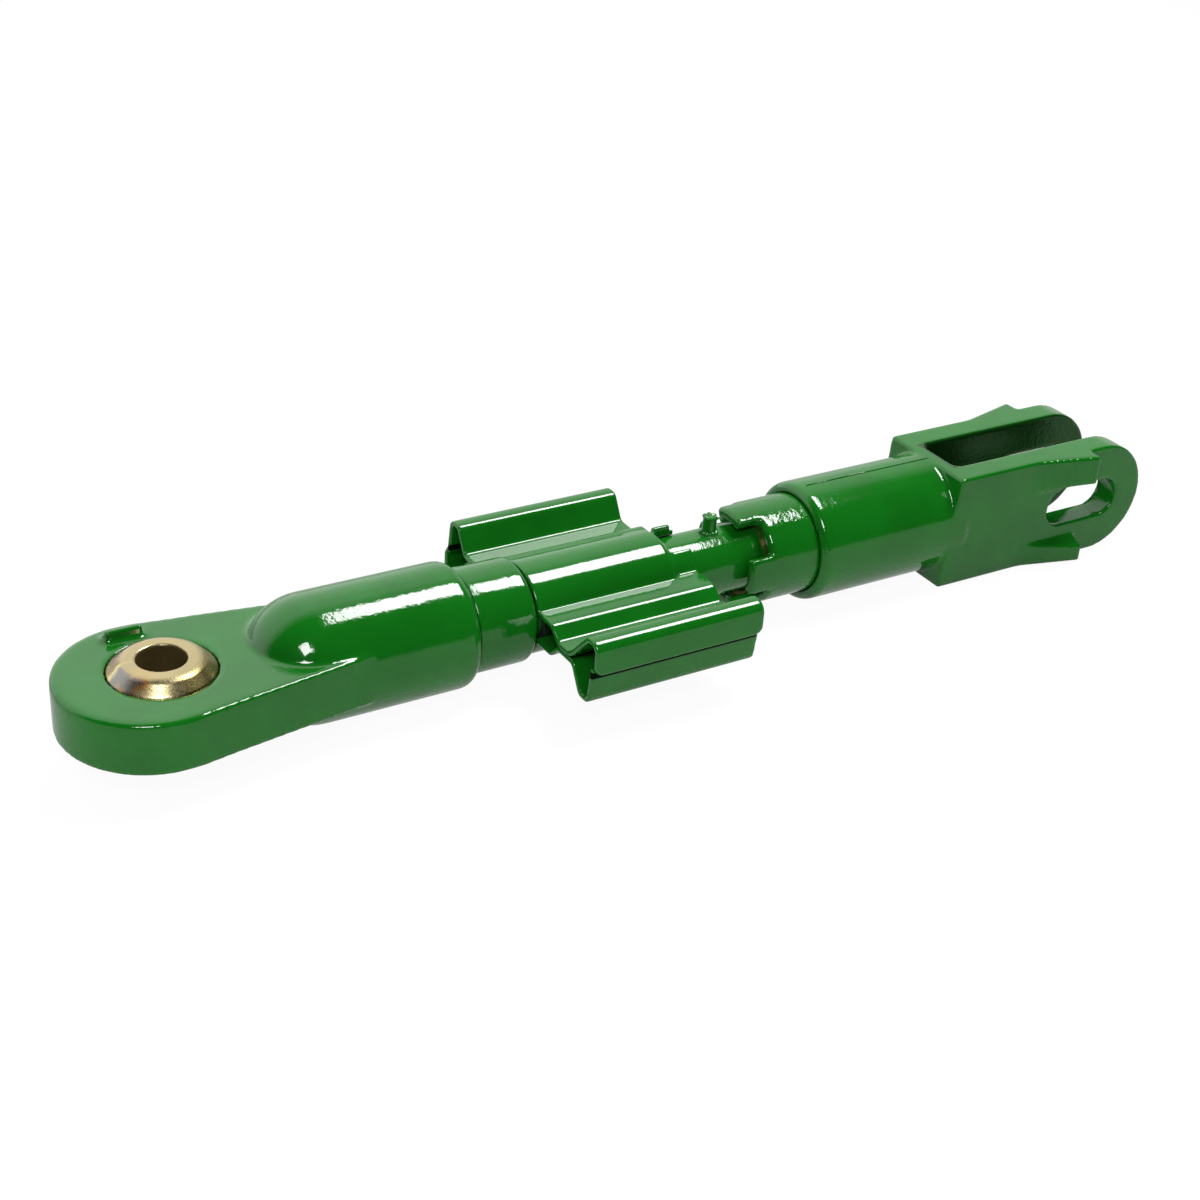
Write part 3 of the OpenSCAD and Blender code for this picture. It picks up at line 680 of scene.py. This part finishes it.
def zinc(peel, clouds):
    """Yellow passivated zinc with coloured clouds round the ball, dark specks and a brown bore"""
    metal = bpy.context.scene.lift_link_metal
    shape = bpy.context.scene.lift_link_shape
    tree, shader = new_material("passivated_zinc")
    place = object_place(tree)
    drift = place_group(tree, clouds, place, ZINC_CLOUDS)
    turned = tree.nodes.new("ShaderNodeVectorRotate")
    turned.rotation_type = "Z_AXIS"
    turned.inputs["Angle"].default_value = CLOUD_TURN
    tree.links.new(place, turned.inputs["Vector"])
    round_ball = split_place(tree, turned.outputs["Vector"])
    around = math_node(tree, "ARCTAN2", round_ball["X"], multiply(tree, round_ball["Y"], -1.0))
    around = math_node(tree, "ADD", around, stretch(tree, drift["Cloud"], CLOUD_WANDER))
    ramp = tree.nodes.new("ShaderNodeValToRGB")
    tree.links.new(map_range(tree, around, (-math.pi, math.pi)), ramp.inputs["Fac"])
    bands = ramp.color_ramp.elements
    bands[0].color = metal.gold
    bands[1].color = metal.gold
    for stop, tone in ZINC_TONES:
        bands.new(stop).color = getattr(metal, tone)
    sides = split_place(tree, place)
    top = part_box("swivel_ball")[1].z
    off_ring = map_range(tree, sides["Z"], tuple(top - fade for fade in RING_FADE), smooth=True)
    strength = stretch(tree, off_ring, (RING_SHARE, 1.0))
    colour = blend_colour(tree, strength, metal.gold, ramp.outputs["Color"])
    specks = multiply(tree, map_range(tree, drift["Speckle"], SPECK_EDGE), off_ring)
    colour = blend_colour(tree, specks, colour, metal.speck)
    squares = math_node(tree, "ADD", math_node(tree, "POWER", sides["X"], 2.0),
                        math_node(tree, "POWER", sides["Y"], 2.0))
    radius = math_node(tree, "SQRT", squares)
    in_bore = map_range(tree, radius, tuple(shape.bore_radius + fade for fade in BORE_FADE))
    colour = blend_colour(tree, in_bore, colour, metal.bore)
    tree.links.new(colour, shader["Base Color"])
    tree.links.new(stretch(tree, in_bore, (1.0, BORE_METAL)), shader["Metallic"])
    tree.links.new(stretch(tree, drift["Speckle"], ZINC_ROUGH), shader["Roughness"])
    waves = place_group(tree, peel, place, ZINC_WAVES)
    add_relief(tree, shader, waves["Height"], ZINC_RELIEF)


def bronze(peel, clouds):
    """Dull bearing bronze with dark oil stains"""
    metal = bpy.context.scene.lift_link_metal
    tree, shader = new_material("bearing_bronze")
    place = object_place(tree)
    drift = place_group(tree, clouds, place, BRONZE_CLOUDS)
    tree.links.new(blend_colour(tree, drift["Cloud"], metal.bronze, metal.bore), shader["Base Color"])
    tree.links.new(stretch(tree, drift["Speckle"], BRONZE_ROUGH), shader["Roughness"])
    shader["Metallic"].default_value = BRONZE_METAL
    waves = place_group(tree, peel, place, BRONZE_WAVES)
    add_relief(tree, shader, waves["Height"], METAL_RELIEF)


def plain_finish(name, clouds, scale, colours, rough, metallic, relief):
    """A finish of two clouded colours with a speckled surface"""
    tree, shader = new_material(name)
    drift = place_group(tree, clouds, object_place(tree), scale)
    tree.links.new(blend_colour(tree, drift["Cloud"], *colours), shader["Base Color"])
    tree.links.new(stretch(tree, drift["Speckle"], rough), shader["Roughness"])
    shader["Metallic"].default_value = metallic
    add_relief(tree, shader, drift["Speckle"], relief)


class LIFTLINK_OT_finishes(bpy.types.Operator):
    """Make the shared node groups and the link's materials"""
    bl_idname = "liftlink.finishes"
    bl_label = "Finishes"

    def execute(self, context):
        metal = context.scene.lift_link_metal
        peel = peel_group()
        clouds = cloud_group()
        enamel("gloss_enamel", peel, clouds, FORGING_COAT)
        enamel("thick_enamel", peel, clouds, SOCKET_COAT)
        enamel("sheet_enamel", peel, clouds, SHEET_COAT)
        zinc(peel, clouds)
        bronze(peel, clouds)
        steels = (metal.steel, metal.dark_steel)
        plain_finish("ground_steel", clouds, STEEL_CLOUDS, steels, GROUND_ROUGH, 1.0, METAL_RELIEF)
        plain_finish("turned_steel", clouds, STEEL_CLOUDS, steels, TURNED_ROUGH, 1.0, METAL_RELIEF)
        rubbers = (metal.rubber, metal.bloom)
        plain_finish("black_rubber", clouds, RUBBER_CLOUDS, rubbers, RUBBER_ROUGH, 0.0, RUBBER_RELIEF)
        return {"FINISHED"}


class LIFTLINK_OT_inner(bpy.types.Operator):
    """Give the inner turned pieces their metals and the seal its rubber"""
    bl_idname = "liftlink.inner"
    bl_label = "Inner pieces"

    def execute(self, context):
        for row in frame["record"]["subparts"]:
            mesh = frame["nodes"][row["node"]].data
            mesh.materials.clear()
            mesh.materials.append(bpy.data.materials[FINISHES[row["material_slot"]]])
        return {"FINISHED"}


class LIFTLINK_OT_ball_end(bpy.types.Operator):
    """Soften the eye and housing forging, with a fuller rounding on the eye's upper edge"""
    bl_idname = "liftlink.ball_end"
    bl_label = "Ball end forging"

    def execute(self, context):
        shape = context.scene.lift_link_shape
        piece = copy_of("ball_end_forging", "eye_forging")
        soften(piece, shape.forging_grain, EYE_PASSES)
        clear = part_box("swivel_ball")[1].x + RIM_CLEAR

        def weigh(place):
            if place.z < RIM_FLOOR or place.xy.length < clear:
                return 0.0
            return share(place.x, RIM_ROUND)

        relax_where(piece, weigh, RIM_PASSES)
        for vertex in piece.data.vertices:
            out = vertex.co.xy
            if out.length > clear:
                swell = shape.rim_swell * share(vertex.co.x, RIM_FULL)
                vertex.co.xy = out * (1.0 + swell / out.length)
        dress(piece, "eye_end", "green_paint", "ball_end_forging")
        return {"FINISHED"}


class LIFTLINK_OT_ball(bpy.types.Operator):
    """Soften the swivel ball and bow out its end cones a little, as turned balls have them"""
    bl_idname = "liftlink.ball"
    bl_label = "Swivel ball"

    def execute(self, context):
        shape = context.scene.lift_link_shape
        piece = copy_of("swivel_ball", "zinc_ball")
        soften(piece, shape.ball_grain, BALL_PASSES)
        cone = (shape.cone_foot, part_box("swivel_ball")[1].z)
        for vertex, normal in [(vertex, vertex.normal.copy()) for vertex in piece.data.vertices]:
            if vertex.co.xy.length > shape.cone_inner:
                height = share(abs(vertex.co.z), cone)
                fall = share(height, (CONE_SHOULDER, 1.0))
                rise = share(height, (0.0, CONE_SHOULDER)) - fall * fall
                vertex.co += normal * shape.cone_bow * rise
        dress(piece, "ball", "yellow_zinc", "swivel_ball")
        return {"FINISHED"}


class LIFTLINK_OT_tubes(bpy.types.Operator):
    """Break the edges of the thread collar and the centre tube"""
    bl_idname = "liftlink.tubes"
    bl_label = "Collar and tube"

    def execute(self, context):
        for node, name, body in (("thread_collar", "mouth_collar", "eye_end"),
                                 ("centre_tube", "painted_tube", "screw")):
            piece = copy_of(node, name)
            break_edges(piece, context.scene.lift_link_shape.edge)
            dress(piece, body, "green_paint", node)
        return {"FINISHED"}


class LIFTLINK_OT_stud(bpy.types.Operator):
    """Soften the drive stud, set it down a little and knurl its crown"""
    bl_idname = "liftlink.stud"
    bl_label = "Drive stud"

    def execute(self, context):
        piece = copy_of("drive_stud", "welded_stud")
        soften(piece, context.scene.lift_link_shape.stud_grain, STUD_PASSES)
        low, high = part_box("drive_stud")
        middle = (low + high) / 2
        tube_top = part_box("centre_tube")[1].z
        for vertex in piece.data.vertices:
            crown = share(high.z - vertex.co.z, CROWN)
            out = vertex.co - middle
            tooth = (1.0 + math.sin(CROWN_TEETH * math.atan2(out.y, out.x) + CROWN_TURN)) / 2
            vertex.co.xy += out.xy * CROWN_FLARE * crown * tooth
            above = max(0.0, vertex.co.z - tube_top)
            vertex.co.z -= STUD_SETTLE * above + CROWN_NOTCH * crown * (1.0 - tooth)
        dress(piece, "screw", "green_paint", "drive_stud")
        return {"FINISHED"}


class LIFTLINK_OT_handle(bpy.types.Operator):
    """Round the sheet edges of both handle pressings"""
    bl_idname = "liftlink.handle"
    bl_label = "Handle pressings"

    def execute(self, context):
        for node, name in (("handle_upper_shell", "upper_pressing"),
                           ("handle_lower_shell", "lower_pressing")):
            piece = copy_of(node, name)
            soften(piece, context.scene.lift_link_shape.sheet_grain, SHEET_PASSES)
            dress(piece, "handle", "green_paint", node, finish="sheet_enamel")
        return {"FINISHED"}


class LIFTLINK_OT_socket(bpy.types.Operator):
    """Soften the socket collar and its lugs"""
    bl_idname = "liftlink.socket"
    bl_label = "Socket collar"

    def execute(self, context):
        piece = copy_of("socket_collar", "lugged_collar")
        soften(piece, context.scene.lift_link_shape.socket_grain, SOCKET_PASSES)
        dress(piece, "fork_end", "green_paint", "socket_collar", finish="thick_enamel")
        return {"FINISHED"}


class LIFTLINK_OT_clevis(bpy.types.Operator):
    """Soften the clevis forging"""
    bl_idname = "liftlink.clevis"
    bl_label = "Clevis forging"

    def execute(self, context):
        piece = copy_of("clevis_forging", "fork_forging")
        soften(piece, context.scene.lift_link_shape.forging_grain, CLEVIS_PASSES)
        dress(piece, "fork_end", "green_paint", "clevis_forging")
        return {"FINISHED"}


class LIFTLINK_OT_flash(bpy.types.Operator):
    """Add the flash line that the forging dies leave along the clevis tube"""
    bl_idname = "liftlink.flash"
    bl_label = "Flash line"

    def execute(self, context):
        low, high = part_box("clevis_forging")
        deselect()
        bpy.ops.mesh.primitive_cylinder_add(
            vertices=FLASH_SIDES, radius=FLASH_RADIUS, depth=FLASH_LENGTH, rotation=(0.0, math.pi / 2, 0.0),
            location=(low.x + FLASH_START + FLASH_LENGTH / 2, 0.0, high.z - FLASH_DEPTH))
        piece = bpy.context.object
        set_in_place(piece, "flash_line")
        dress(piece, "fork_end", "green_paint")
        return {"FINISHED"}


class LIFTLINK_OT_weld(bpy.types.Operator):
    """Lay the weld bead round the stud's foot, over the curve of the tube"""
    bl_idname = "liftlink.weld"
    bl_label = "Stud weld"

    def execute(self, context):
        low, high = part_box("drive_stud")
        middle = (low + high) / 2
        tube_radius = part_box("centre_tube")[1].z
        deselect()
        bpy.ops.mesh.primitive_torus_add(
            major_segments=WELD_STEPS[0], minor_segments=WELD_STEPS[1], major_radius=WELD_RADIUS,
            minor_radius=WELD_BEAD, location=(middle.x, middle.y, tube_radius + WELD_LIFT))
        piece = bpy.context.object
        set_in_place(piece, "stud_weld")
        out_waves, out_height, out_turn = WELD_OUTWARD
        up_waves, up_height, up_turn = WELD_UPWARD
        for vertex in piece.data.vertices:
            out = (vertex.co - middle).xy
            turn = math.atan2(out.y, out.x)
            vertex.co.xy += out.normalized() * out_height * math.sin(out_waves * turn + out_turn)
            side = vertex.co.y - middle.y
            vertex.co.z -= tube_radius - math.sqrt(tube_radius ** 2 - side ** 2)
            vertex.co.z += up_height * math.sin(up_waves * turn + up_turn)
        dress(piece, "screw", "green_paint")
        return {"FINISHED"}


def look_basis(turn):
    """Right, up and back vectors of a camera from its pitch, yaw and roll"""
    pitch, yaw, roll = turn
    ahead = Vector((math.sin(yaw) * math.cos(pitch), math.cos(yaw) * math.cos(pitch), -math.sin(pitch)))
    level = Vector((math.cos(yaw), -math.sin(yaw), 0.0))
    top = level.cross(ahead)
    right = math.cos(roll) * level + math.sin(roll) * top
    up = math.cos(roll) * top - math.sin(roll) * level
    return right, up, -ahead


def stand(item, place, basis):
    """Links a camera or lamp to the scene and stands it at a place, turned by its three axes"""
    bpy.context.scene.collection.objects.link(item)
    item.matrix_world = Matrix.Translation(Vector(place)) @ Matrix(basis).transposed().to_4x4()


def add_camera(studio):
    data = bpy.data.cameras.new("camera")
    data.lens = studio.lens
    data.sensor_width = SENSOR
    data.sensor_fit = "HORIZONTAL"
    data.clip_start = NEAREST
    camera = bpy.data.objects.new("camera", data)
    stand(camera, studio.camera_place, look_basis(studio.camera_turn))
    bpy.context.scene.camera = camera


def add_softbox(name, place, aim, size, power):
    data = bpy.data.lights.new(name, "AREA")
    data.shape = "RECTANGLE"
    data.size, data.size_y = size
    data.energy = power
    back = (Vector(place) - Vector(aim)).normalized()
    side = Vector((0.0, 1.0, 0.0)).cross(back).normalized()
    stand(bpy.data.objects.new(name, data), place, (side, back.cross(side), back))


def shown_rays(tree):
    """The light path, and 1 on camera, glossy and transmission rays, which see the pale background"""
    path = tree.nodes.new("ShaderNodeLightPath").outputs
    return path, larger(tree, larger(tree, path["Is Camera Ray"], path["Is Glossy Ray"]),
                        path["Is Transmission Ray"])


def add_surroundings(studio):
    """White to the camera, a soft even fill, and dark card over the camera's side in reflections"""
    world = bpy.data.worlds.new("studio")
    bpy.context.scene.world = world
    world.use_nodes = True
    tree = world.node_tree
    sides = split_place(tree, tree.nodes.new("ShaderNodeTexCoord").outputs["Generated"])
    behind = map_range(tree, sides["Y"], BACKDROP_EDGE, smooth=True)
    below = map_range(tree, sides["Z"], GROUND_EDGE, smooth=True)
    fall_off = map_range(tree, sides["X"], FALL_OFF_EDGE, FALL_OFF)
    backdrop = multiply(tree, behind, multiply(tree, fall_off, studio.backdrop_gloss))
    reflected = larger(tree, backdrop, multiply(tree, below, studio.ground_gloss))
    reflected = larger(tree, reflected, CARD_LEVEL)
    path, seen = shown_rays(tree)
    plain = larger(tree, path["Is Camera Ray"], path["Is Transmission Ray"])
    level = blend_value(tree, seen, stretch(tree, behind, (studio.dim_fill, studio.fill)), reflected)
    background = tree.nodes["Background"].inputs
    tree.links.new(blend_value(tree, plain, level, 1.0), background["Strength"])
    background["Color"].default_value = WHITE


def add_floor(studio):
    """A plain pale floor that glows white to the camera and keeps the link's shadow"""
    deselect()
    bpy.ops.mesh.primitive_plane_add(size=FLOOR_SIZE, location=(*FLOOR_PLACE, CAD_BOX[0].z - FLOOR_DROP))
    floor = bpy.context.object
    floor.name = "studio_floor"
    tree, shader = new_material("pale_floor")
    shader["Base Color"].default_value = FLOOR_COLOUR
    shader["Roughness"].default_value = FLOOR_ROUGH
    shader["Specular IOR Level"].default_value = 0.0
    path, seen = shown_rays(tree)
    glow = tree.nodes.new("ShaderNodeEmission")
    glossy = multiply(tree, path["Is Glossy Ray"], 1.0 - studio.ground_gloss)
    tree.links.new(math_node(tree, "SUBTRACT", 1.0, glossy), glow.inputs["Strength"])
    mix = tree.nodes.new("ShaderNodeMixShader")
    tree.links.new(multiply(tree, seen, FLOOR_GLOW), mix.inputs["Fac"])
    tree.links.new(tree.nodes["Principled BSDF"].outputs["BSDF"], mix.inputs[1])
    tree.links.new(glow.outputs["Emission"], mix.inputs[2])
    tree.links.new(mix.outputs["Shader"], tree.nodes["Material Output"].inputs["Surface"])
    floor.data.materials.append(bpy.data.materials["pale_floor"])


class LIFTLINK_OT_stage(bpy.types.Operator):
    """Set the camera, the softboxes, the surroundings and the floor"""
    bl_idname = "liftlink.stage"
    bl_label = "Studio"

    def execute(self, context):
        studio = context.scene.lift_link_studio
        add_camera(studio)
        add_softbox("overhead_box", studio.box_place, studio.box_aim, studio.box_size, studio.box_power)
        add_softbox("front_box", studio.front_place, studio.front_aim, studio.front_size,
                    studio.front_power)
        add_surroundings(studio)
        add_floor(studio)
        context.scene.view_settings.view_transform = "Standard"
        return {"FINISHED"}


OPERATORS = (LIFTLINK_OT_stage, LIFTLINK_OT_finishes, LIFTLINK_OT_inner, LIFTLINK_OT_ball_end,
             LIFTLINK_OT_ball, LIFTLINK_OT_tubes, LIFTLINK_OT_stud, LIFTLINK_OT_handle, LIFTLINK_OT_socket,
             LIFTLINK_OT_clevis, LIFTLINK_OT_flash, LIFTLINK_OT_weld)
SETTINGS = (("lift_link_paint", LiftLinkPaint), ("lift_link_metal", LiftLinkMetal),
            ("lift_link_shape", LiftLinkShape), ("lift_link_studio", LiftLinkStudio))


class LIFTLINK_PT_panel(bpy.types.Panel):
    """Steps and sizes of the lift link"""
    bl_idname = "LIFTLINK_PT_panel"
    bl_label = "Lift Link"
    bl_space_type = "VIEW_3D"
    bl_region_type = "UI"
    bl_category = "Lift Link"

    def draw(self, context):
        for name, settings in SETTINGS:
            column = self.layout.column(heading=settings.__doc__)
            for label in settings.__annotations__:
                column.prop(getattr(context.scene, name), label)
        for operator in OPERATORS:
            self.layout.operator(operator.bl_idname)


def register():
    for name, settings in SETTINGS:
        bpy.utils.register_class(settings)
        setattr(bpy.types.Scene, name, bpy.props.PointerProperty(type=settings))
    for item in OPERATORS + (LIFTLINK_PT_panel,):
        bpy.utils.register_class(item)


def unregister():
    for item in (LIFTLINK_PT_panel,) + OPERATORS:
        bpy.utils.unregister_class(item)
    for name, settings in SETTINGS:
        delattr(bpy.types.Scene, name)
        bpy.utils.unregister_class(settings)


def main():
    register()
    bpy.ops.liftlink.stage()
    bpy.ops.liftlink.finishes()
    bpy.ops.liftlink.inner()
    bpy.ops.liftlink.ball_end()
    bpy.ops.liftlink.ball()
    bpy.ops.liftlink.tubes()
    bpy.ops.liftlink.stud()
    bpy.ops.liftlink.handle()
    bpy.ops.liftlink.socket()
    bpy.ops.liftlink.clevis()
    bpy.ops.liftlink.flash()
    bpy.ops.liftlink.weld()
    deselect()


if __name__ == "__main__":
    main()
